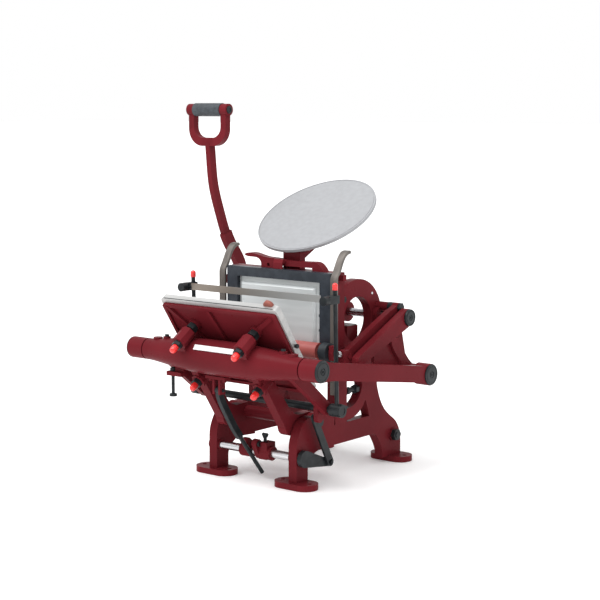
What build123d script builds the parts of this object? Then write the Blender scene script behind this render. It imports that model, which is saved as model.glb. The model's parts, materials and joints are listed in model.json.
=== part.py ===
from build123d import *
from math import acos, atan2, cos, hypot, pi, radians, sin
import os

# Tabletop platen printing press with a side hand lever. Millimetres, +Z up, +X to the
# operator's right, the operator stands on the -Y side, ground at Z = 0.

# ---- driving dimensions -------------------------------------------------------------
TILT = 33.9                     # platen angle from vertical in the open position
ROCK = (-122.3, 145.4)          # rocker pivot (Y, Z)
SHAFT = (113.0, 375.6)          # main shaft (Y, Z)
CRANK_PIN = (122.4, 241.2)      # crank pin (Y, Z), open position
YOKE = (-304.7, 305.8)          # crossbar axis (Y, Z), open position
STUD = (113.0, 398.0)           # roller arm stud (Y, Z)
ARM_END = (-95.0, 305.0)        # outer end of the roller arm (Y, Z)
ROLL_RADIUS = 263.0             # roller axis from the stud
ROLL_ANGLE = 197.9              # roller axis direction from the stud
RING = (30.0, 372.0)            # centre of the round window in the side frame
GRIP_AXIS = (-160.0, 189.0)     # gripper shaft (Y, Z)
GRIP_X = 218.0                  # gripper bars, left and right of centre
GRIP_TIP = (-168.1, 468.0)      # top of the gripper bar (Y, Z)
CROSS_ROD = (-190.0, 70.0)      # low cross rod (Y, Z)
DISC = (0.0, 41.5, 620.4)       # ink disc centre
DISC_TILT = 31.4                # ink disc slope, rising to the back
FRAME_IN, FRAME_OUT = 111.5, 135.5
FOOT_Y = 191.2
FOOT_X = 123.5
BED_Y = (-88.0, -58.0)
BED_Z = (282.0, 496.0)
RAIL_FACE = -114.0
PLATEN_HALF = 176.0
PLATEN_HEIGHT = 240.0
PLATEN_TOP = (-313.1, 439.6)    # top edge of the platen face (Y, Z)
PLATE = 16.0                    # thickness of the bright platen plate
ROCK_R = 10.0                   # rocker shaft radius
RIBS = (((0, -100), (-156, 104)), ((0, -100), (-30, 104)), ((93.5, 59), (156, 104)), ((0, -100), (93.5, 59)),
        ((0, -100), (-93.5, -59)), ((0, -100), (93.5, -59)))
SCREW_X = 93.5
SCREW_DOWN = (61.0, 179.0)      # impression screws, measured down the platen face
HANDLE_X = -300.0
FIT = 0.05                      # radial clearance of running fits


# ---- helpers ------------------------------------------------------------------------
def prism(plane, sketch, depth):
    """Extrude a sketch along the normal of its plane."""
    return extrude(plane * sketch, amount=depth, dir=plane.z_dir)


def slab(sketch, x0, x1):
    """Extrude a (Y, Z) sketch from x0 to x1."""
    return prism(Plane(origin=(x0, 0, 0), x_dir=(0, 1, 0), z_dir=(1, 0, 0)), sketch, x1 - x0)


def dot(p, r):
    return Pos(p[0], p[1]) * Circle(r)


def rod_x(p, r, x0, x1):
    return slab(dot(p, r), x0, x1)


def poly(*pts):
    return Polygon(*pts, align=None)


def box(x, y, z):
    """Box from (low, high) pairs."""
    size = (x[1] - x[0], y[1] - y[0], z[1] - z[0])
    mid = ((x[0] + x[1]) / 2, (y[0] + y[1]) / 2, (z[0] + z[1]) / 2)
    return Pos(*mid) * Box(*size)


def taper(p, rp, q, rq):
    """Outline of a link: two round ends joined by their outer tangents."""
    span = hypot(q[0] - p[0], q[1] - p[1])
    along = atan2(q[1] - p[1], q[0] - p[0])
    lean = acos((rp - rq) / span)

    def rim(c, r, angle):
        return (c[0] + r * cos(along + angle), c[1] + r * sin(along + angle))

    a, b = rim(p, rp, lean), rim(q, rq, lean)
    c, d = rim(q, rq, -lean), rim(p, rp, -lean)
    edges = [Line(a, b), ThreePointArc(b, rim(q, rq, 0), c), Line(c, d), ThreePointArc(d, rim(p, rp, pi), a)]
    return make_face(Wire(edges))


def rod(a, b, r):
    """Round bar between two points in space."""
    d = Vector(*b) - Vector(*a)
    return extrude(Plane(origin=a, z_dir=d) * Circle(r), amount=d.length)


def bar(a, b, r, sides):
    """Straight bar of regular polygon section."""
    d = Vector(*b) - Vector(*a)
    return extrude(Plane(origin=a, z_dir=d) * RegularPolygon(r, sides), amount=d.length)


def hexagon(a, b, r):
    return bar(a, b, r, 6)


def both(shape):
    """The shape and its mirror image, as separate solids."""
    return Compound(children=[shape, mirror(shape, about=Plane.YZ)])


def group(*shapes):
    return Compound(children=list(shapes))


def on_face(down, back):
    """(Y, Z) of a point measured down the platen face and behind it."""
    n = (cos(radians(TILT)), sin(radians(TILT)))
    y = PLATEN_TOP[0] + down * n[1] - back * n[0]
    z = PLATEN_TOP[1] - down * n[0] - back * n[1]
    return y, z


def at_x(x, p):
    return (x, p[0], p[1])


# ---- side frames and fixed parts ----------------------------------------------------
def side_frame():
    web = dot(RING, 98)
    web += poly((-58, 100), (-12, 100), (-12, 345), (-58, 345))
    shin = Spline((95, 80), (115, 68), (130, 45), (137, 13), tangents=((1, 0), (0, -1)))
    heel = Spline((213, 13), (212, 60), (196, 94), (165, 118), (137, 144), (118, 180), (108, 225), (108, 280),
                  (127, 356), tangents=((0, 1), (0.2, 1)))
    web += make_face([shin, Line(shin @ 1, heel @ 0), heel, Polyline(heel @ 1, (60, 350), (48, 300), (48, 215),
                      (72, 150), shin @ 0)])
    arc = dot((-8, 218), 86) - dot((-8, 218), 58)
    web += arc & poly((-8, 218), (-120, 106), (-8, 106), (110, 120), (110, 225))
    web += poly((-158, 80), (-62, 75), (-62, 80), (110, 80), (110, 128), (-62, 128), (-58, 165), (-110, 165),
                (-150, 160))
    knee = Spline((-205, 80), (-202, 112), (-187, 142), (-150, 162), tangents=((0, 1), (1, 0.1)))
    calf = Spline((-110, 79), (-140, 72), (-157, 56), (-163, 35), tangents=((-1, 0), (0, -1)))
    web += make_face([knee, Polyline(knee @ 1, (-100, 160), calf @ 0), calf,
                      Polyline(calf @ 1, (-163, 13), (-205, 13), knee @ 0)])
    web += dot(ROCK, 21)
    web -= dot(RING, 56) + poly((-130, 240), (-58, 240), (-58, 500), (-130, 500))
    web -= dot(ROCK, ROCK_R) + dot(SHAFT, 10 + FIT) + dot((88.2, 430.9), 3.5) + dot((-28.8, 426.5), 5)
    body = slab(web, FRAME_IN, FRAME_OUT)
    shaft_boss = dot(SHAFT, 22) - dot(SHAFT, 10 + FIT) - dot(RING, 56) - dot(STUD, 8)
    body += slab(shaft_boss, FRAME_OUT, FRAME_OUT + 12)
    body += rod_x(STUD, 11, FRAME_OUT, 170) - rod_x(SHAFT, 10 + FIT, FRAME_OUT, 170)
    body += rod_x((180.6, 65.6), 17, FRAME_IN - 8, FRAME_OUT + 3)
    body += rod_x(CROSS_ROD, 13.5, FRAME_IN - 3, FRAME_OUT + 4)
    for y in (-FOOT_Y, FOOT_Y):
        pad = Pos(FOOT_X, y) * SlotOverall(114, 62)
        for dx in (-40, 40):
            pad -= Pos(FOOT_X + dx, y) * Circle(5.5)
        body += extrude(pad, amount=14)
    body -= rod_x((180.6, 65.6), 8, 90, 150)
    body -= rod_x(CROSS_ROD, 10 + FIT, 90, 150)
    body -= rod_x((-28.8, 426.5), 5, 100, 150)
    body -= rod_x(STUD, 8, 150, 171)
    body -= rod((FOOT_X, 40, 200), (FOOT_X, 82, 200), 6)
    return body


def bed():
    plate = box((-162, 162), BED_Y, BED_Z)
    rib = box((-100, 100), (BED_Y[1], -20), (300, 318)) + box((-100, 100), (BED_Y[1], -20), (460, 478))
    casting = plate + rib
    for z in (300, 452):
        for s in (-1, 1):
            casting += box(sorted((s * 160, s * 172)), (-108, -86), (z, z + 20))
    casting += box((160, 178), (-84, -72), (478, 492))
    top = Spline((-122, 524), (-112, 528), (-87, 527), (-60, 521.5), (-25, 519.5), (6, 516.5), (84, 517),
                 (103, 515), (114, 507), (123, 494))
    under = Polyline((123, 494), (123, 488), (91, 488), (88, 503), (-8, 503), (-30, 499), (-36, 488),
                     (-67, 488), (-69, 507))
    horn = Spline((-69, 507), (-75, 515), (-92, 519), (-122, 524))
    back = Plane(origin=(0, -66, 0), x_dir=(1, 0, 0), z_dir=(0, -1, 0))
    return casting + prism(back, make_face([top, under, horn]) - dot((-46, 503), 4.5), 22)


def chase():
    ring = Rectangle(319, 211.9) - Rectangle(254, 165.7)
    hold = Plane(origin=(0, BED_Y[0], 389.95), x_dir=(1, 0, 0), z_dir=(0, -1, 0))
    body = prism(hold, ring, 21)
    for z in (360, 395, 430):
        body += rod((128, -103, z), (123.5, -103, z), 4)
    return body


def chase_plate():
    hold = Plane(origin=(-3.2, BED_Y[0], 389.95), x_dir=(1, 0, 0), z_dir=(0, -1, 0))
    base = prism(hold, Rectangle(246, 164), 11)
    block = prism(hold, Pos(-2.3, 0) * Rectangle(231, 139.2), 18)
    block = chamfer(block.faces().sort_by(Axis.Y)[0].edges(), 6)
    return base + block


def rail(side):
    face = RAIL_FACE
    front = Spline((face, 478), (-106.8, 497), (-94.2, 520.5), (-81, 539.5), (-59, 548),
                   tangents=((0, 1), (1, 0)))
    back = Spline((-57, 541), (-76.5, 534), (-88.5, 517.5), (-101, 494.5), (face + 6, 477),
                  tangents=((-1, 0), (0, -1)))
    strip = Polyline(back @ 1, (face + 6, 212), (face, 212), front @ 0)
    return slab(make_face([front, Line(front @ 1, back @ 0), back, strip]), 162.6, 180.6)


def upper_fixed():
    """Neck under the ink disc, bolted between the bed and the disc hub."""
    lean = radians(DISC_TILT)
    hub = (DISC[0], DISC[1] + 20.3 * sin(lean), DISC[2] - 20.3 * cos(lean))
    neck = rod(hub, (DISC[0], DISC[1] + 50 * sin(lean), DISC[2] - 50 * cos(lean)), 24)
    arm = slab(poly((-57.9, 500), (-44, 500), (-40, 517), (62, 569), (62, 588), (-57.9, 545)), -22, 26)
    flare = poly((-24, 479), (28, 479), (28, 534), (50, 541), (50, 545), (-46, 545), (-46, 541), (-24, 534))
    body = neck + arm + prism(Plane(origin=(0, -38, 0), x_dir=(1, 0, 0), z_dir=(0, -1, 0)), flare, 19.9)
    return body - rod(hub, (0, DISC[1] + 80 * sin(lean), DISC[2] - 80 * cos(lean)), 10 + FIT)


def ink_disc():
    lean = radians(DISC_TILT)
    up = Vector(0, -sin(lean), cos(lean))
    face = Plane(origin=DISC, x_dir=(1, 0, 0), z_dir=up)
    plate = extrude(face * Circle(152), amount=-7)
    plate -= extrude(face * (Circle(149) - Circle(147)), amount=-0.8)
    hub = extrude(face * Circle(44), amount=-20)
    stem = extrude(face * Circle(10), amount=-52)
    return plate + hub + stem


parts = {}
right_frame = side_frame()
parts["right_side_frame"] = right_frame
parts["left_side_frame"] = mirror(right_frame, about=Plane.YZ)
parts["bed"] = bed()
parts["chase"] = chase()
parts["chase_plate"] = chase_plate()
parts["rails"] = both(rail(1))
parts["disc_bracket"] = upper_fixed()
parts["ink_disc"] = ink_disc()
parts["tie_rod"] = rod_x((180.6, 65.6), 8, -152, 152)
tie_nut = slab(Pos(180.6, 65.6) * (RegularPolygon(15, 6) - Circle(8)), 138.6, 150)
parts["tie_rod_nuts"] = both(tie_nut)
parts["rocker_shaft"] = rod_x(ROCK, ROCK_R, -143, 143)
parts["cross_beam"] = box((-FRAME_IN, FRAME_IN), (20, 62), (324, 354)) + \
    box((-FRAME_IN, FRAME_IN), (24, 58), (314, 325))


def stop_screw():
    x = FOOT_X
    screw = rod((x, -2, 200), (x, 82, 200), 6)
    nut = hexagon((x, 30, 200), (x, 42, 200), 11)
    return screw + nut + rod((x, -2, 200), (x, 10, 200), 9)


def arm_stud():
    spacer = rod_x(STUD, 11.5, 170, 183.7)
    core = rod_x(STUD, 8, 150.2, 204)
    head = slab(Pos(*STUD) * RegularPolygon(12, 6), 200.4, 206)
    return spacer + core + head


def web_bolt():
    return slab(dot((-28.8, 426.5), 5), 111, 138) + slab(Pos(-28.8, 426.5) * RegularPolygon(8, 6), 135.5, 141)


parts["stop_screws"] = both(stop_screw())
parts["arm_studs"] = both(arm_stud())
parts["frame_bolts"] = both(web_bolt())


def chase_clamp():
    """Sprung dog that holds the chase down on the bed."""
    side = poly((-101, 496.5), (-98.5, 496.5), (-98.5, 510), (-94, 510), (-94, 519), (-98, 518), (-101, 511))
    return slab(side + dot((-94, 514.5), 5), -20, 8)


parts["chase_clamp"] = chase_clamp()

# ---- main shaft, cranks and hand lever ----------------------------------------------
parts["main_shaft"] = rod_x(SHAFT, 10, -228.5, 228.5)
parts["shaft_collar"] = rod_x(SHAFT, 25, 20, 46) - rod_x(SHAFT, 10, 19, 47)


def crank():
    sector = poly((95, 346), (66, 334), (-19, 309), (-19, 282), (40, 250), (100, 222), CRANK_PIN)
    web = slab(sector, 212, 220)
    outer = Spline((70.6, 332), (97.9, 292.2), (123.3, 266.4), (136, 258))
    inner = Spline((104, 232), (89, 263), (58, 296), (39, 334))
    bend = make_face([outer, Line(outer @ 1, inner @ 0), inner, Line(inner @ 1, outer @ 0)])
    neck = taper(SHAFT, 21, (-80, 295), 12.5)
    ribs = slab(neck + bend + dot(CRANK_PIN, 22), 209, 228)
    boss = rod_x(CRANK_PIN, 22, 209, 247)
    pin = rod_x(CRANK_PIN, 11, 246, 286)
    cut = rod_x(SHAFT, 10, 200, 240)
    return web + ribs + boss + pin - cut


right_crank = crank()
parts["right_crank"] = right_crank
parts["left_crank"] = mirror(right_crank, about=Plane.YZ) + rod_x(CRANK_PIN, 11, -291, -240)
parts["crank_caps"] = both(rod_x(SHAFT, 20.5, 228.5, 234))


def hand_lever():
    path = [CRANK_PIN, (118, 330), (112, 420), (99, 476), (54, 542), (26, 605), (0, 683), (-11, 774),
            (-13, 790)]
    spine = Spline(*[(HANDLE_X, y, z) for y, z in path])
    start = Plane(origin=spine @ 0, x_dir=(1, 0, 0), z_dir=spine % 0)
    blade = sweep(start * Rectangle(14, 22), path=spine)
    root = Spline(*[(HANDLE_X, y, z) for y, z in path[:4] + [(69, 520), (45, 560)]])
    blade += sweep(Plane(origin=root @ 0, x_dir=(1, 0, 0), z_dir=root % 0) * Rectangle(17, 30), path=root)
    hub = rod_x(CRANK_PIN, 24, HANDLE_X - 15, HANDLE_X + 9)
    loop = Plane(origin=(HANDLE_X, -14, 0), x_dir=(1, 0, 0), z_dir=(0, -1, 0))
    outer = Pos(0, 872) * RectangleRounded(124, 180, 44)
    inner = Pos(0, 883) * RectangleRounded(90, 160, 28)
    bow = extrude(loop * (outer - inner - Pos(0, 972) * Rectangle(200, 200)), amount=9, both=True)
    bow += rod((HANDLE_X - 66, -14, 873), (HANDLE_X - 45, -14, 873), 15)
    bow += rod((HANDLE_X + 45, -14, 873), (HANDLE_X + 66, -14, 873), 15)
    return blade + hub + bow - rod_x(CRANK_PIN, 11, HANDLE_X - 8, HANDLE_X + 12)


parts["hand_lever"] = hand_lever()
parts["handle_grip"] = rod((HANDLE_X - 44.8, -14, 873), (HANDLE_X + 44.8, -14, 873), 16.5)


# ---- side rods ----------------------------------------------------------------------
def side_rod():
    body = slab(taper(YOKE, 19.5, CRANK_PIN, 20), 264, 286)
    body += rod_x(YOKE, 25.5, 240, 286) + rod_x(CRANK_PIN, 26.5, 250, 286)
    body += slab(taper(YOKE, 25, (-250, 297.5), 18), 262, 286)
    return body - rod_x(CRANK_PIN, 11 + FIT, 249, 290)


right_rod = side_rod()
parts["right_rod"] = right_rod
parts["left_rod"] = mirror(right_rod, about=Plane.YZ)
front_cap = rod_x(YOKE, 25, 286, 290)
parts["right_rod_caps"] = group(front_cap, rod_x(CRANK_PIN, 25.5, 286.2, 290))
parts["left_rod_cap"] = mirror(front_cap, about=Plane.YZ)


# ---- rocker: crossbar, legs, platen --------------------------------------------------
def crossbar():
    top = Spline((0, 41), (60, 40.5), (120, 37), (170, 31.5), (205, 27.5), (236.5, 25.5),
                 tangents=((1, 0), (1, 0)))
    edge = top + Polyline((236.5, 25.5), (236.5, 0), (0, 0), (0, 41))
    turn = Plane(origin=(0, YOKE[0], YOKE[1]), x_dir=(1, 0, 0), z_dir=(0, 1, 0))
    beam = revolve(turn * make_face(edge), axis=Axis((0, YOKE[0], YOKE[1]), (1, 0, 0)))
    return beam + mirror(beam, about=Plane.YZ)


def yoke():
    body = crossbar() + rod_x(ROCK, 15, -108, 108)
    leg = poly((-292, 262), (-209, 138), (-187, 120), (-122, 123.4), (-122, 167.4), (-165, 166), (-188, 175),
               on_face(204, 50), on_face(140, 50)) + dot((-187.5, 144.5), 24.5)
    arm = taper((-287, 290), 15, GRIP_AXIS, 14)
    halves = slab(leg + dot(ROCK, 22), 84, 108) + slab(arm, 181.2, 195)
    for x, r, z in ((178, 9, 341), (207, 11, 337)):
        halves += rod((x, YOKE[0], YOKE[1]), (x, YOKE[0], z), r)
    for down, front in zip(SCREW_DOWN, (50, 56)):
        halves += bar(at_x(SCREW_X, on_face(down, 92)), at_x(SCREW_X, on_face(down, front)), 18, 8)
    shelf = poly(on_face(60, 50), on_face(60, 92), on_face(106, 92), on_face(106, 50))
    low = poly(on_face(120, 50), on_face(120, 88), on_face(180, 90), on_face(190, 60))
    halves += slab(shelf + low, SCREW_X - 10, SCREW_X + 10)
    body += halves + mirror(halves, about=Plane.YZ)
    body += box((-157, -130), (-300, -284), (255, 290)) + box((-176, -130), (-310, -286), (249, 259))
    for x in (-SCREW_X, SCREW_X):
        for down in SCREW_DOWN:
            body -= rod(at_x(x, on_face(down, 130)), at_x(x, on_face(down, 20)), 8 + FIT)
    body -= rod_x(ROCK, ROCK_R + FIT, -120, 120)
    body -= rod_x(GRIP_AXIS, 9 + FIT, -240, 240)
    return body - rod((-166, -298, 200), (-166, -298, 268), 4)


def face_plane(back):
    """Plane parallel to the platen face, looking backwards, centred on the platen."""
    return Plane(origin=at_x(0, on_face(PLATEN_HEIGHT / 2, back)), x_dir=(1, 0, 0),
                 z_dir=(0, -cos(radians(TILT)), -sin(radians(TILT))))


def platen_plate():
    return prism(face_plane(0), Pos(0, 2.5) * RectangleRounded(2 * PLATEN_HALF, PLATEN_HEIGHT + 5, 9), PLATE)


def platen_casting():
    back = face_plane(PLATE)
    outline = Pos(0, -2.5) * RectangleRounded(2 * PLATEN_HALF - 10, PLATEN_HEIGHT - 7, 7)
    plate = prism(back, outline, 3) + prism(back, outline - Pos(0, -2.5) * Rectangle(324, 215), 8)
    for p, q in RIBS:
        plate += prism(back, taper(p, 6, q, 5), 9.5)
    for x in (-SCREW_X, SCREW_X):
        for down in SCREW_DOWN:
            plate += rod(at_x(x, on_face(down, PLATE)), at_x(x, on_face(down, 30)), 15)
    return plate


def platen_studs():
    """Threaded studs with lock nuts between the platen and the rocker bosses."""
    solids = []
    for x in (-SCREW_X, SCREW_X):
        for down in SCREW_DOWN:
            nut = hexagon(at_x(x, on_face(down, 30)), at_x(x, on_face(down, 44)), 14)
            solids.append(nut)
    return group(*solids)


def impression_screw(x, down):
    shank = rod(at_x(x, on_face(down, 44.3)), at_x(x, on_face(down, 100)), 8)
    nut = hexagon(at_x(x, on_face(down, 92.4)), at_x(x, on_face(down, 102)), 12.5)
    cap = rod(at_x(x, on_face(down, 101)), at_x(x, on_face(down, 114.2)), 7.2)
    return shank + nut + cap + Pos(*at_x(x, on_face(down, 114.2))) * Sphere(7.2)


parts["yoke"] = yoke()
parts["platen_plate"] = platen_plate()
parts["platen"] = platen_casting()
parts["platen_nuts"] = platen_studs()
for side, x in (("left", -SCREW_X), ("right", SCREW_X)):
    for level, down in zip(("upper", "lower"), SCREW_DOWN):
        parts[f"{side}_{level}_screw"] = impression_screw(x, down)


def tee_bracket():
    plate = box((-50, 10), (-312, -292), (256, 263)) + box((-44, 4), (-308, -296), (262, 272))
    plate -= crossbar()
    ears = box((-32, -26), (-308, -290), (220, 257)) + box((-14, -8), (-308, -290), (220, 257))
    hole = rod_x((-298.5, 229), 4 + FIT, -40, 0)
    bolts = rod((-40, -302, 250), (-40, -302, 257), 5) + rod((0, -302, 250), (0, -302, 257), 5)
    return plate + ears + bolts - hole


def nameplate():
    face = Plane(origin=(0, YOKE[0] - 33.6, YOKE[1] + 23.6), x_dir=(1, 0, 0), z_dir=(0, -0.819, 0.574))
    return extrude(face * Pos(0, 1.5) * Rectangle(120, 12.5), amount=2.2)


def side_bolt():
    shank = rod((-166, -298, 202), (-166, -298, 268), 4)
    return shank + rod((-166, -298, 198), (-166, -298, 204), 9) + rod((-166, -298, 259.2), (-166, -298, 266), 7)


parts["tee_bracket"] = tee_bracket()
parts["nameplate"] = nameplate()
parts["side_bolt"] = side_bolt()


def work_lever():
    """Curved lever hung from the tee bracket, running down through the guide block."""
    knee, tip = (0, -248, 113), (0, -167.5, 13)
    upper = Spline((-20, -298.5, 229), (-20, -291, 205), (-17, -278, 178), (-9, -264, 144), knee)
    start = Plane(origin=upper @ 0, x_dir=(1, 0, 0), z_dir=upper % 0)
    body = sweep(start * Rectangle(11, 16), path=upper)
    body += rod_x((-298.5, 229), 9, -25.6, -14.4)
    body += rod_x((-298.5, 229), 4, -35, -5)
    return body + Pos(*knee) * Sphere(7) + rod(knee, tip, 5)


parts["work_lever"] = work_lever()


# ---- gripper bars -------------------------------------------------------------------
def gripper_bar(side, hub_r, reach):
    x = GRIP_X * side
    body = rod(at_x(x, GRIP_AXIS), at_x(x, GRIP_TIP), 5)
    return body + rod_x(GRIP_AXIS, hub_r, *sorted((side * reach[0], side * reach[1])))


def gripper_clamp(side):
    x = GRIP_X * side
    body = box((x - 8, x + 8), (-197, -161), (437.5, 456))
    body += rod((x, -187.4, 446.5), (x - 20.5 * side, -187.4, 446.5), 6)
    body += rod((x, -197, 446.5), (x, -213, 446.5), 10.5)
    return body - rod(at_x(x, GRIP_AXIS), at_x(x, GRIP_TIP), 5)


def gripper_strip():
    lean = 10.73
    mid = Plane(origin=(0, -194.9, 448.5), x_dir=(1, 0, 0),
                z_dir=(0, -cos(radians(lean)), -sin(radians(lean))))
    return extrude(mid * Rectangle(397, 17), amount=0.5, both=True)


hook = slab(poly((-168, 198), (-152, 204), (-128, 195), (-142, 178)), GRIP_X - 8, GRIP_X + 8)
grip_bore = rod_x(GRIP_AXIS, 9, -240, 240)
parts["gripper_shaft"] = rod_x(GRIP_AXIS, 9, -226, 234)
parts["gripper_bars"] = group(gripper_bar(1, 15, (203, 235)) + hook - grip_bore,
                              gripper_bar(-1, 11.5, (208, 227)) - grip_bore)
parts["gripper_clamps"] = group(gripper_clamp(1), gripper_clamp(-1))
parts["gripper_strip"] = gripper_strip()
parts["gripper_tips"] = both(Pos(218, -168.2, 473.1) * (Cylinder(6.5, 10) + Pos(0, 0, 5) * Sphere(6.5)))
lever = slab(taper(GRIP_AXIS, 16, (-165, 165), 10), 162, 174) - rod_x(GRIP_AXIS, 9, 150, 180)
parts["gripper_lever"] = lever + rod_x((-165, 165), 4, 150, 174)


# ---- throw-off linkage on the low cross rod -----------------------------------------
def cross_lever():
    arm = slab(taper(CROSS_ROD, 20, (-100, 46), 8), 141, 151)
    return arm + rod_x((-104, 50), 4, 151, 163) - rod_x(CROSS_ROD, 10, 140, 147)


def grip_link():
    link = slab(taper((-165, 165), 9, (-104, 50), 10.5), 152.5, 158)
    return link - rod_x((-165, 165), 4 + FIT, 150, 160) - rod_x((-104, 50), 7, 150, 160)


def guide_block():
    body = rod_x(CROSS_ROD, 17, -40, -9) + rod_x(CROSS_ROD, 17, 9, 52)
    for x in ((-22, -9), (9, 22)):
        body += slab(taper(CROSS_ROD, 17, (-207, 92), 11), *x)
    body += box((22, 46), (-206, -174), (56, 96))
    return body - rod_x(CROSS_ROD, 10 + FIT, -60, 60)


parts["cross_rod"] = rod_x(CROSS_ROD, 10, -141, 147)
parts["cross_lever"] = cross_lever()
parts["grip_link"] = grip_link()
parts["guide_block"] = guide_block()
parts["thumb_screw"] = rod((30, -192, 96.2), (30, -192, 112), 4) + rod((23, -192, 113), (37, -192, 113), 4)


# ---- roller arms, carriage and rollers ----------------------------------------------
roll = (STUD[0] + ROLL_RADIUS * cos(radians(ROLL_ANGLE)), STUD[1] + ROLL_RADIUS * sin(radians(ROLL_ANGLE)))
out = hypot(roll[0] - ARM_END[0], roll[1] - ARM_END[1])
slide_dir = ((roll[0] - ARM_END[0]) / out, (roll[1] - ARM_END[1]) / out)


def on_slide(s):
    """Point on the axis of the sprung carriage pin, measured from the arm end."""
    return (192, ARM_END[0] + s * slide_dir[0], ARM_END[1] + s * slide_dir[1])


def roller_arm():
    plate = taper(STUD, 11.5, ARM_END, 11)
    lobe = poly((60, 374), (-95, 305), (-100, 294), (-88, 279), (-43, 288.7), (103, 331.8), (134, 341),
                (128, 362), (100, 378))
    strip = taper(STUD, 9.5, (60, 374.3), 9.5) + dot(STUD, 11.5)
    arm = slab(plate + lobe - dot(STUD, 34) + strip, 184, 200)
    eye = box((184, 205), (-115, -94), (292, 320)) + rod_x(ARM_END, 14, 184, 205)
    bolt = slab(Pos(*ARM_END) * RegularPolygon(7, 6), 204, 208)
    arm = arm + eye + bolt - rod_x(STUD, 8 + FIT, 180, 210)
    return arm - rod(on_slide(2), on_slide(40), 4 + FIT)


def carriage():
    """Hook that carries the roller spindle, on a sprung pin in the arm end."""
    hook = poly((-146, 300), (-130, 300), (-128, 316), (-131, 334), (-146, 334), (-148, 316))
    body = slab(hook - dot(roll, 6 + FIT), 184, 196)
    return body + rod(on_slide(5), on_slide(36), 4)


parts["right_roller_arm"] = roller_arm()
parts["left_roller_arm"] = mirror(parts["right_roller_arm"], about=Plane.YZ)
parts["roller_hooks"] = both(carriage())
parts["roller_core"] = rod_x(roll, 6, -195.5, 195.5)
parts["roller_rubber"] = rod_x(roll, 19.5, -150, 150) - rod_x(roll, 6, -151, 151)
truck = rod_x(roll, 21.5, 160, 181) - rod_x(roll, 6, 159, 182)
parts["roller_trucks"] = both(truck)

os.makedirs("parts", exist_ok=True)
for node, shape in parts.items():
    shape.label = node
    export_step(shape, f"parts/{node}.step")
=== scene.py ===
import json
from math import cos, pi, radians, sin

import bmesh
import bpy
from mathutils import Matrix, Vector


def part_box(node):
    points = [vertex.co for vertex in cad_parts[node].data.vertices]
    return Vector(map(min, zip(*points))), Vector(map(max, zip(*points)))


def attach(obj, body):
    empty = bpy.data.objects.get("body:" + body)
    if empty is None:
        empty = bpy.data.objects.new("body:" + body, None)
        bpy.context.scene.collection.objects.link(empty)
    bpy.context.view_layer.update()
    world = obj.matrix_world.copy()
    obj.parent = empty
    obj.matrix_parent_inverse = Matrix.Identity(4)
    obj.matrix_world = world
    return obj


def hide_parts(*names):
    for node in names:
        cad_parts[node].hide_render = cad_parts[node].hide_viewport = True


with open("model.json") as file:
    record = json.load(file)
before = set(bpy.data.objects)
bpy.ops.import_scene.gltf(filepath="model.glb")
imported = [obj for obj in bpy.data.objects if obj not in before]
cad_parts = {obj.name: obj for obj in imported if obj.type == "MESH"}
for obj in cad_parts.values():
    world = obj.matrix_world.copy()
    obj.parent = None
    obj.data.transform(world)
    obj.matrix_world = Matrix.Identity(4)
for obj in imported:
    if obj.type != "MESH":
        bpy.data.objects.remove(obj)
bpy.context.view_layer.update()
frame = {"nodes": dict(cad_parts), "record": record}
nodes = frame["nodes"]


# ---- materials ----------------------------------------------------------------------
def new_material(name, color, rough, metal=0.0, coat=0.0, coat_rough=0.1, specular=0.5):
    """Principled material with the constants set on the shader's own sockets."""
    mat = bpy.data.materials.new(name)
    mat.use_nodes = True
    shader = mat.node_tree.nodes["Principled BSDF"]
    shader.inputs["Base Color"].default_value = (*color, 1)
    shader.inputs["Roughness"].default_value = rough
    shader.inputs["Metallic"].default_value = metal
    shader.inputs["Coat Weight"].default_value = coat
    shader.inputs["Coat Roughness"].default_value = coat_rough
    shader.inputs["Specular IOR Level"].default_value = specular
    return mat


def noise(mat, scale, detail=4.0, stretch=(1, 1, 1)):
    """Noise factor in object coordinates."""
    tree = mat.node_tree
    coords = tree.nodes.new("ShaderNodeTexCoord")
    mapping = tree.nodes.new("ShaderNodeMapping")
    mapping.inputs["Scale"].default_value = stretch
    tex = tree.nodes.new("ShaderNodeTexNoise")
    tex.inputs["Scale"].default_value = scale
    tex.inputs["Detail"].default_value = detail
    tree.links.new(coords.outputs["Object"], mapping.inputs["Vector"])
    tree.links.new(mapping.outputs["Vector"], tex.inputs["Vector"])
    return tex.outputs["Fac"]


def ramp(mat, source, low, high, start=0.35, end=0.65):
    """Colour ramp between two colours."""
    node = mat.node_tree.nodes.new("ShaderNodeValToRGB")
    node.color_ramp.elements[0].position = start
    node.color_ramp.elements[1].position = end
    node.color_ramp.elements[0].color = (*low, 1)
    node.color_ramp.elements[1].color = (*high, 1)
    mat.node_tree.links.new(source, node.inputs["Fac"])
    return node.outputs["Color"]


def to_shader(mat, source, socket):
    """Drive a socket of the Principled shader."""
    shader = mat.node_tree.nodes["Principled BSDF"]
    mat.node_tree.links.new(source, shader.inputs[socket])


def spread(mat, source, low, high):
    """Map a 0-1 factor on to a number range."""
    node = mat.node_tree.nodes.new("ShaderNodeMapRange")
    node.inputs["From Min"].default_value = 0.3
    node.inputs["From Max"].default_value = 0.7
    node.inputs["To Min"].default_value = low
    node.inputs["To Max"].default_value = high
    mat.node_tree.links.new(source, node.inputs["Value"])
    return node.outputs["Result"]


def bump(mat, source, strength, distance):
    """Fine relief from a height source."""
    node = mat.node_tree.nodes.new("ShaderNodeBump")
    node.inputs["Strength"].default_value = strength
    node.inputs["Distance"].default_value = distance
    mat.node_tree.links.new(source, node.inputs["Height"])
    to_shader(mat, node.outputs["Normal"], "Normal")


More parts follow.
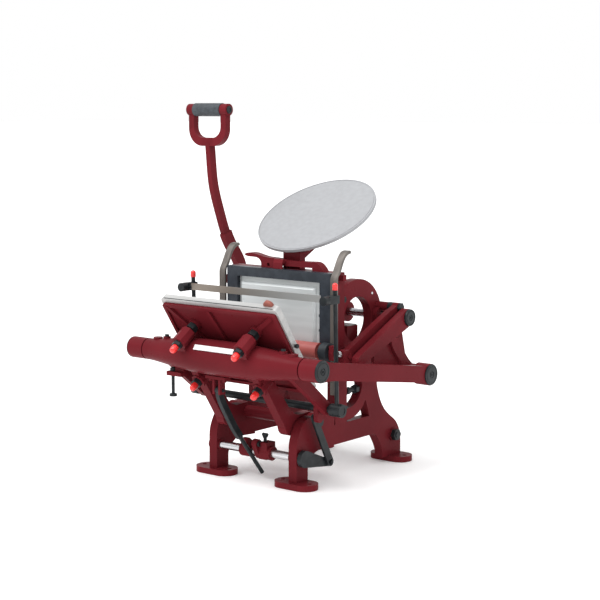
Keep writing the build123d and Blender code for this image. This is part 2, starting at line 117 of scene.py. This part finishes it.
def painted_edge_highlight(mat, base, highlight_color, amount):
    """Painted highlight: lighter paint on convex edges, standing in for light catching them."""
    tree = mat.node_tree
    geo = tree.nodes.new("ShaderNodeNewGeometry")
    mix = tree.nodes.new("ShaderNodeMix")
    mix.data_type = "RGBA"
    mask = tree.nodes.new("ShaderNodeMapRange")
    mask.inputs["From Min"].default_value = 0.56
    mask.inputs["From Max"].default_value = 0.68
    mask.inputs["To Max"].default_value = amount
    tree.links.new(geo.outputs["Pointiness"], mask.inputs["Value"])
    tree.links.new(mask.outputs["Result"], mix.inputs["Factor"])
    tree.links.new(base, mix.inputs["A"])
    mix.inputs["B"].default_value = (*highlight_color, 1)
    return mix.outputs["Result"]


def enamel():
    """Thick maroon machine enamel with a slight orange-peel surface and a painted highlight on convex edges.
    """
    mat = new_material("maroon_enamel", (0.11, 0.006, 0.009), 0.34, coat=0.02, coat_rough=0.12, specular=0.03)
    tone = ramp(mat, noise(mat, 7), (0.102, 0.0100, 0.0140), (0.132, 0.0130, 0.0180), 0.3, 0.7)
    # painted highlight: convex edges are lightened towards a pink maroon
    to_shader(mat, painted_edge_highlight(mat, tone, (0.22, 0.022, 0.030), 0.35), "Base Color")
    to_shader(mat, spread(mat, noise(mat, 35), 0.26, 0.42), "Roughness")
    bump(mat, noise(mat, 130, 3), 0.10, 0.0010)
    return mat


def brushed(name, color, rough, stretch, metal, scale):
    """Metal whose roughness and relief are drawn out along one axis."""
    mat = new_material(name, color, rough, metal=metal)
    to_shader(mat, spread(mat, noise(mat, scale * 2, 4, stretch), rough * 0.8, rough * 1.25), "Roughness")
    bump(mat, noise(mat, scale * 4, 3, stretch), 0.08, 0.0005)
    return mat


def steel(name, low, high, rough, stretch=(1, 1, 1), metal=1.0, scale=60):
    """Brushed metal with a tone that wanders between two colours."""
    mat = brushed(name, high, rough, stretch, metal, scale)
    to_shader(mat, ramp(mat, noise(mat, scale, 5, stretch), low, high), "Base Color")
    return mat


def strip_tone_ramp():
    """Spring steel, darker and warmer on the left, lighter and greyer on the right."""
    mat = brushed("strip_steel", (0.30, 0.28, 0.25), 0.34, (0.08, 1, 1), 0.5, 25)
    tree = mat.node_tree
    coords = tree.nodes.new("ShaderNodeTexCoord")
    split = tree.nodes.new("ShaderNodeSeparateXYZ")
    across = tree.nodes.new("ShaderNodeMapRange")
    across.inputs["From Min"].default_value = -0.08
    across.inputs["From Max"].default_value = 0.10
    tree.links.new(coords.outputs["Object"], split.inputs["Vector"])
    tree.links.new(split.outputs["X"], across.inputs["Value"])
    tone = ramp(mat, across.outputs["Result"], (0.24, 0.205, 0.172), (0.42, 0.425, 0.42), 0.0, 1.0)
    to_shader(mat, tone, "Base Color")
    return mat


def satin(name, low, high, rough, scale=50, strength=0.15, coat=0.0, specular=0.5):
    """Satin paint, rubber or plastic with a mottled tone."""
    mat = new_material(name, high, rough, coat=coat, specular=specular)
    to_shader(mat, ramp(mat, noise(mat, scale), low, high), "Base Color")
    to_shader(mat, spread(mat, noise(mat, scale * 1.7), rough * 0.85, rough * 1.15), "Roughness")
    bump(mat, noise(mat, scale * 6, 3), strength, 0.0008)
    return mat


ACROSS, UPRIGHT = (0.1, 1, 1), (1, 1, 0.1)      # brushing directions
materials = {
    "maroon_paint": enamel(),
    "bright_steel": steel("bright_steel", (0.50, 0.50, 0.52), (0.66, 0.66, 0.68), 0.25, (0.05, 1, 1)),
    "rail_steel": steel("rail_steel", (0.095, 0.084, 0.076), (0.160, 0.142, 0.128), 0.42, UPRIGHT, 0.5),
    "platen_steel": steel("platen_steel", (0.37, 0.37, 0.365), (0.46, 0.46, 0.452), 0.36, ACROSS, 0.3),
    "black_steel": satin("black_steel", (0.010, 0.0125, 0.014), (0.019, 0.0225, 0.025), 0.38, specular=0.20),
    "chase_iron": satin("chase_iron", (0.017, 0.022, 0.030), (0.030, 0.037, 0.048), 0.36, specular=0.30),
    "light_plate": steel("light_plate", (0.54, 0.57, 0.575), (0.62, 0.65, 0.655), 0.36, ACROSS, 0.3),
    "disc_plate": steel("disc_plate", (0.305, 0.310, 0.322), (0.332, 0.338, 0.352), 0.5, metal=0.25,
                        scale=90),
    "roller_rubber": satin("roller_rubber", (0.29, 0.055, 0.048), (0.34, 0.070, 0.060), 0.42, 20, 0.08, 0.1),
    "truck_rubber": satin("truck_rubber", (0.014, 0.017, 0.021), (0.023, 0.028, 0.034), 0.5, specular=0.25),
    "grip_rubber": satin("grip_rubber", (0.022, 0.028, 0.034), (0.040, 0.049, 0.058), 0.62, 90, 0.5),
    "red_cap": satin("red_cap", (0.66, 0.016, 0.014), (0.78, 0.028, 0.026), 0.32, 30, 0.05, 0.3),
    "white_plate": satin("white_plate", (0.68, 0.66, 0.66), (0.76, 0.74, 0.74), 0.35, 20, 0.03),
}
strip_steel = strip_tone_ramp()
tab_rubber = satin("tab_rubber", (0.20, 0.050, 0.034), (0.27, 0.070, 0.048), 0.5, 30)

for entry in frame["record"]["subparts"]:
    data = nodes[entry["node"]].data
    data.materials.clear()
    data.materials.append(materials[entry["material_slot"]])
nodes["gripper_strip"].data.materials[0] = strip_steel

# ---- rounded casting edges ----------------------------------------------------------
EDGE_RADIUS = {
    0.005: ("left_rod", "right_rod"),
    0.0035: ("chase",),
    0.003: ("right_side_frame", "left_side_frame", "cross_beam", "left_crank", "right_crank", "hand_lever"),
    0.0025: ("yoke",),
    0.002: ("bed", "disc_bracket", "guide_block", "right_roller_arm", "left_roller_arm", "roller_hooks"),
    0.0015: ("platen", "gripper_clamps", "cross_lever", "roller_trucks", "gripper_lever", "handle_grip",
             "shaft_collar"),
    0.0012: ("work_lever", "platen_plate", "platen_nuts"),
    0.001: ("tee_bracket", "gripper_bars", "grip_link", "roller_rubber", "tie_rod_nuts", "chase_clamp"),
    0.0008: ("left_upper_screw", "left_lower_screw", "right_upper_screw", "right_lower_screw", "stop_screws"),
    0.0006: ("ink_disc",),
    0.0004: ("rails", "gripper_tips"),
}
for width, names in EDGE_RADIUS.items():
    for name in names:
        bevel = nodes[name].modifiers.new("bevel", "BEVEL")
        bevel.width = width
        bevel.segments = 3
        bevel.limit_method = "ANGLE"
        bevel.angle_limit = radians(38)
        bevel.use_clamp_overlap = True
        bevel.harden_normals = True

# ---- small fittings ------------------------------------------------------------------
TILT = radians(33.9)                            # lean of the open platen
SHAFT = (0.113, 0.3756)                         # main shaft (Y, Z)
YOKE = (-0.3047, 0.3058)                        # crossbar axis (Y, Z)
CRANK_PIN = (0.1224, 0.2412)                    # crank pin (Y, Z)
PLATEN_TOP = (-0.3131, 0.4396)                  # upper edge of the platen face (Y, Z)
PLATEN_HALF = 0.176
SCREW_X, SCREW_DOWN = 0.0935, {"upper": 0.061, "lower": 0.179}
CAP_START = 0.1023                              # red caps begin this far behind the platen face
ROD_FACE, REAR_ROD_FACE = 0.286, 0.2862
SHAFT_END = 0.2285
LUG_X, LUG_TOP = 0.178, 0.341                   # crossbar lugs
PIN_SIDES, CAP_SIDES = 24, 56
RIGHT, LEFT, UP, FRONT = Vector((1, 0, 0)), Vector((-1, 0, 0)), Vector((0, 0, 1)), Vector((0, -1, 0))
BACK = Vector((0, -cos(TILT), -sin(TILT)))


def on_platen(x, down, back):
    """Point measured down the platen face and behind it."""
    y = PLATEN_TOP[0] + down * sin(TILT) - back * cos(TILT)
    z = PLATEN_TOP[1] - down * cos(TILT) - back * sin(TILT)
    return Vector((x, y, z))


def axes_of(along):
    """Three square axes, the last one along a direction."""
    z = Vector(along).normalized()
    x = z.orthogonal().normalized()
    return x, z.cross(x), z


def lathe(mesh, at, along, profile, sides=40, scallop=0.0, lobes=0):
    """Turned solid: radius and height pairs, optionally with scalloped sides."""
    x, y, z = axes_of(along)
    rings = []
    for r, h in profile:
        centre = Vector(at) + z * h
        if r == 0:
            rings.append([mesh.verts.new(centre)])
            continue
        ring = []
        for i in range(sides):
            t = 2 * pi * i / sides
            reach = r * (1 - scallop * (0.5 - 0.5 * cos(lobes * t)))
            ring.append(mesh.verts.new(centre + reach * (cos(t) * x + sin(t) * y)))
        rings.append(ring)
    for a, b in zip(rings, rings[1:]):
        for i in range(sides):
            j = (i + 1) % sides
            corners = [a[i % len(a)], a[j % len(a)], b[j % len(b)], b[i % len(b)]]
            mesh.faces.new(list(dict.fromkeys(corners)))


def coil(mesh, at, along, radius, wire, pitch, turns, per_turn=20, sides=8):
    """Helical wire with closed ends."""
    x, y, z = axes_of(along)
    section = [(wire * cos(2 * pi * s / sides), wire * sin(2 * pi * s / sides)) for s in range(sides)]
    rings = []
    for k in range(turns * per_turn + 1):
        t = 2 * pi * k / per_turn
        out = cos(t) * x + sin(t) * y
        centre = Vector(at) + out * radius + z * (pitch * k / per_turn)
        rings.append([mesh.verts.new(centre + a * out + b * z) for a, b in section])
    for a, b in zip(rings, rings[1:]):
        for i in range(sides):
            j = (i + 1) % sides
            mesh.faces.new([a[i], a[j], b[j], b[i]])
    mesh.faces.new(rings[0][::-1])
    mesh.faces.new(rings[-1])


def slab_mesh(mesh, low, high):
    """Rectangular bar between two corners."""
    xs, ys, zs = zip(low, high)
    v = [mesh.verts.new((x, y, z)) for x in xs for y in ys for z in zs]
    for quad in ((0, 1, 3, 2), (4, 6, 7, 5), (0, 4, 5, 1), (2, 3, 7, 6), (0, 2, 6, 4), (1, 5, 7, 3)):
        mesh.faces.new([v[i] for i in quad])


def piece(name, mesh, slot, body, finish=None):
    """Turn a bmesh into a piece that rides on a body."""
    bmesh.ops.recalc_face_normals(mesh, faces=mesh.faces)
    data = bpy.data.meshes.new(name)
    mesh.to_mesh(data)
    mesh.free()
    for polygon in data.polygons:
        polygon.use_smooth = True
    data.set_sharp_from_angle(angle=radians(32))
    obj = bpy.data.objects.new(name, data)
    bpy.context.scene.collection.objects.link(obj)
    data.materials.append(finish or materials[slot])
    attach(obj, body)
    return obj


def turned(name, slot, body, *turns, finish=None):
    """Piece made of turned solids, each given as the arguments of lathe."""
    mesh = bmesh.new()
    for turn in turns:
        lathe(mesh, *turn)
    return piece(name, mesh, slot, body, finish)


def both_ends(centre, reach, profile, sides):
    """The same turned solid on the right and on the left of a centre."""
    return [(Vector(centre) + reach * along, along, profile, sides) for along in (RIGHT, LEFT)]


def socket_screw(r, h):
    """Profile of a cap screw head with a socket."""
    return [(0, 0), (r, 0), (r, h * 0.75), (r * 0.9, h), (r * 0.5, h), (r * 0.45, h * 0.35), (0, h * 0.35)]


def end_cap(r, h):
    """Profile of a dished end cap with a raised rim and a centre screw."""
    return [(0, 0), (r, 0), (r, h * 0.62), (r * 0.955, h * 0.94), (r * 0.83, h), (r * 0.81, h * 0.78),
            (r * 0.77, h * 0.78), (r * 0.75, h * 0.96), (r * 0.34, h * 0.96), (r * 0.32, h * 0.55),
            (r * 0.25, h * 0.55), (r * 0.235, h * 0.9), (r * 0.12, h * 0.93), (r * 0.12, h * 0.45),
            (0, h * 0.45)]


# impression screws
RED_CAP = [(0, 0), (0.0076, 0), (0.0080, 0.0012), (0.0081, 0.0090), (0.0078, 0.0135), (0.0069, 0.0158),
           (0.0054, 0.0177), (0.0032, 0.0189), (0, 0.0193)]
for side, x in (("left", -SCREW_X), ("right", SCREW_X)):
    for level, down in SCREW_DOWN.items():
        turned(f"{side}_{level}_tip", "red_cap", f"{side}_{level}_screw",
               (on_platen(x, down, CAP_START), BACK, RED_CAP, 40))

# end caps of the side rods and the main shaft
front_cap = end_cap(0.025, 0.004)
right_caps = turned("right_rod_end_caps", "black_steel", "right_side_rod",
                    ((ROD_FACE, *YOKE), RIGHT, front_cap, CAP_SIDES),
                    ((REAR_ROD_FACE, *CRANK_PIN), RIGHT, end_cap(0.0255, 0.0038), CAP_SIDES))
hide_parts("right_rod_caps")
left_cap = turned("left_rod_end_cap", "black_steel", "left_side_rod",
                  ((-ROD_FACE, *YOKE), LEFT, front_cap, CAP_SIDES))
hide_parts("left_rod_cap")
shaft_caps = turned("shaft_end_caps", "black_steel", "drive",
                    *both_ends((0, *SHAFT), SHAFT_END, end_cap(0.0205, 0.0055), CAP_SIDES))
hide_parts("crank_caps")

# rocker: set screws in the crossbar lugs and the platen's sides, corner tab, and a dark strip as painted
# shadow along the platen's top-back edge
LUG_SCREW = socket_screw(0.0052, 0.005)
SIDE_SCREW = [(0, 0), (0.0034, 0), (0.0034, 0.0035), (0.0052, 0.0036), (0.0054, 0.0078), (0.0046, 0.0086),
              (0, 0.0087)]
turned("rocker_set_screws", "black_steel", "rocker",
       *[((x, YOKE[0], LUG_TOP), UP, LUG_SCREW, PIN_SIDES) for x in (-LUG_X, LUG_X)],
       *[(on_platen(x, 0.106, 0.008), along, SIDE_SCREW, PIN_SIDES)
         for x, along in ((-PLATEN_HALF, LEFT), (PLATEN_HALF, RIGHT))])

TAB = [(0, 0), (0.0115, 0), (0.013, 0.0012), (0.013, 0.0082), (0.0118, 0.0092), (0, 0.0092)]
turned("platen_corner_tab", "roller_rubber", "rocker",
       (on_platen(0.147, -0.0045, -0.0024), BACK, TAB, 40), finish=tab_rubber)

# painted shadow: a thin black strip along the platen's top-back edge stands in for the shadow line there
shadow_line = bmesh.new()
slab_mesh(shadow_line, (-0.166, -0.0004, -0.0004), (0.166, 0.0016, 0.0007))
turn = Matrix.Rotation(TILT, 4, "X") @ Matrix.Rotation(pi, 4, "Z")
place = Matrix.Translation(on_platen(0, -0.0048, 0.0132)) @ turn
bmesh.ops.transform(shadow_line, matrix=place, verts=shadow_line.verts)
piece("platen_shadow_line_strip", shadow_line, "black_steel", "rocker")

# frame
DOWEL = [(0, 0), (0.0034, 0), (0.0034, 0.0243), (0.0028, 0.0249), (0, 0.0250)]
turned("frame_dowels", "bright_steel", "frame", *both_ends((0, 0.0882, 0.4309), 0.1116, DOWEL, 20))

# thin pale steel strip along the cross beam's top, which makes the top face read light
top_bar = bmesh.new()
slab_mesh(top_bar, (-0.1105, 0.0225, 0.3541), (0.1105, 0.0595, 0.3563))
bmesh.ops.bevel(top_bar, geom=top_bar.edges[:], offset=0.0006, segments=2, affect="EDGES")
piece("beam_top_pale_strip", top_bar, "platen_steel", "frame")

# hand lever and main shaft
GRIP_SCREW = [(0, 0), (0.0098, 0), (0.0098, 0.0012), (0.0088, 0.0022), (0.0052, 0.0022), (0.0048, 0.0008),
              (0, 0.0008)]
turned("grip_end_screw", "black_steel", "drive", ((-0.234, -0.014, 0.873), RIGHT, GRIP_SCREW, 32))
turned("collar_set_screw", "black_steel", "drive",
       ((0.033, SHAFT[0] - 0.0249, SHAFT[1]), FRONT, socket_screw(0.0045, 0.004), PIN_SIDES))

# guide block and thumb screw
turned("guide_pin_heads", "black_steel", "guide_block",
       *both_ends((0, -0.207, 0.092), 0.0221, socket_screw(0.0068, 0.0055), PIN_SIDES))
KNURL = [(0, 0), (0.0056, 0), (0.0062, 0.0010), (0.0062, 0.0030), (0.0054, 0.0040), (0, 0.0040)]
turned("thumb_knob_collar", "black_steel", "thumb_screw", ((0.030, -0.192, 0.1060), UP, KNURL, 48, 0.12, 12))

# nameplate rivets
RIVET = [(0, -0.0008), (0.0015, -0.0008), (0.0015, 0.0004), (0.001, 0.0010), (0, 0.0012)]
plate_low, plate_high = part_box("nameplate")
rivet_y = (plate_low[1] + plate_high[1]) / 2 - 0.0009
rivet_z = (plate_low[2] + plate_high[2]) / 2 + 0.0006
turned("nameplate_rivets", "bright_steel", "rocker",
       *[((x, rivet_y, rivet_z), (0, -0.819, 0.574), RIVET, 16)
         for x in (plate_low[0] + 0.004, plate_high[0] - 0.004)])

# roller carriage
STUD, ROLL_RADIUS, ROLL_ANGLE = (0.113, 0.398), 0.263, radians(197.9)
ROLL = Vector((0, STUD[0] + ROLL_RADIUS * cos(ROLL_ANGLE), STUD[1] + ROLL_RADIUS * sin(ROLL_ANGLE)))
ARM_END = Vector((0, -0.095, 0.305))
outward = (ROLL - ARM_END).normalized()
springs = bmesh.new()
for x in (-0.192, 0.192):
    coil(springs, ARM_END + Vector((x, 0, 0)) + outward * 0.0215, outward, 0.0058, 0.0010, 0.0029, 4)
piece("carriage_springs", springs, "bright_steel", "roller_carriage")

AXLE_NUT = [(0, 0), (0.0088, 0), (0.0092, 0.0008), (0.0086, 0.0026), (0.004, 0.0032), (0, 0.0032)]
turned("roller_axle_nuts", "black_steel", "roller", *both_ends(ROLL, 0.1962, AXLE_NUT, 6))

# ---- stage, lights, camera ----------------------------------------------------------
AZIMUTH, ELEVATION = radians(38.67), radians(7.20)
DISTANCE = 3.779
FOCAL_PIXELS, IMAGE_PIXELS, SENSOR = 1541, 600, 36
AIM = Vector((-0.0184, 0.0, 0.4103))
collection = bpy.context.scene.collection

FLOOR_HALF, FLOOR_Z = 60, -0.0005
floor_mat = new_material("floor", (0.93, 0.93, 0.93), 0.8, specular=0.1)
floor_shader = floor_mat.node_tree.nodes["Principled BSDF"]
floor_shader.inputs["Emission Color"].default_value = (1, 1, 1, 1)
floor_shader.inputs["Emission Strength"].default_value = 0.14
floor_tone = ramp(floor_mat, noise(floor_mat, 1.5), (0.92, 0.92, 0.92), (0.94, 0.94, 0.94))
to_shader(floor_mat, floor_tone, "Base Color")
corners = [(a * FLOOR_HALF, b * FLOOR_HALF, FLOOR_Z) for a, b in ((-1, -1), (1, -1), (1, 1), (-1, 1))]
floor_mesh = bpy.data.meshes.new("floor")
floor_mesh.from_pydata(corners, [], [(0, 1, 2, 3)])
floor_mesh.materials.append(floor_mat)
floor = bpy.data.objects.new("floor", floor_mesh)
collection.objects.link(floor)

world = bpy.data.worlds.new("studio")
world.use_nodes = True
world.node_tree.nodes["Background"].inputs["Color"].default_value = (1.0, 1.0, 1.0, 1)
world.node_tree.nodes["Background"].inputs["Strength"].default_value = 1.0
bpy.context.scene.world = world
bpy.context.scene.view_settings.view_transform = "Standard"

sun_data = bpy.data.lights.new("key", "SUN")
sun_data.energy = 1.6
sun_data.angle = radians(35)
sun = bpy.data.objects.new("key", sun_data)
sun.rotation_euler = Vector((0.55, 0.75, -1.5)).to_track_quat("-Z", "Y").to_euler()
collection.objects.link(sun)

SOFTBOX_PLACE, SOFTBOX_AIM = Vector((0.4, -1.0, 2.4)), Vector((0, 0, 0.35))
box_data = bpy.data.lights.new("softbox", "AREA")
box_data.shape = "DISK"
box_data.size = 1.2
box_data.energy = 18
softbox = bpy.data.objects.new("softbox", box_data)
softbox.location = SOFTBOX_PLACE
softbox.rotation_euler = (SOFTBOX_AIM - SOFTBOX_PLACE).to_track_quat("-Z", "Y").to_euler()
collection.objects.link(softbox)

camera_data = bpy.data.cameras.new("camera")
camera_data.sensor_width = SENSOR
camera_data.lens = FOCAL_PIXELS / IMAGE_PIXELS * SENSOR
camera = bpy.data.objects.new("camera", camera_data)
away = Vector((sin(AZIMUTH) * cos(ELEVATION), -cos(AZIMUTH) * cos(ELEVATION), sin(ELEVATION)))
camera.location = AIM + DISTANCE * away
camera.rotation_euler = (-away).to_track_quat("-Z", "Y").to_euler()
collection.objects.link(camera)
bpy.context.scene.camera = camera
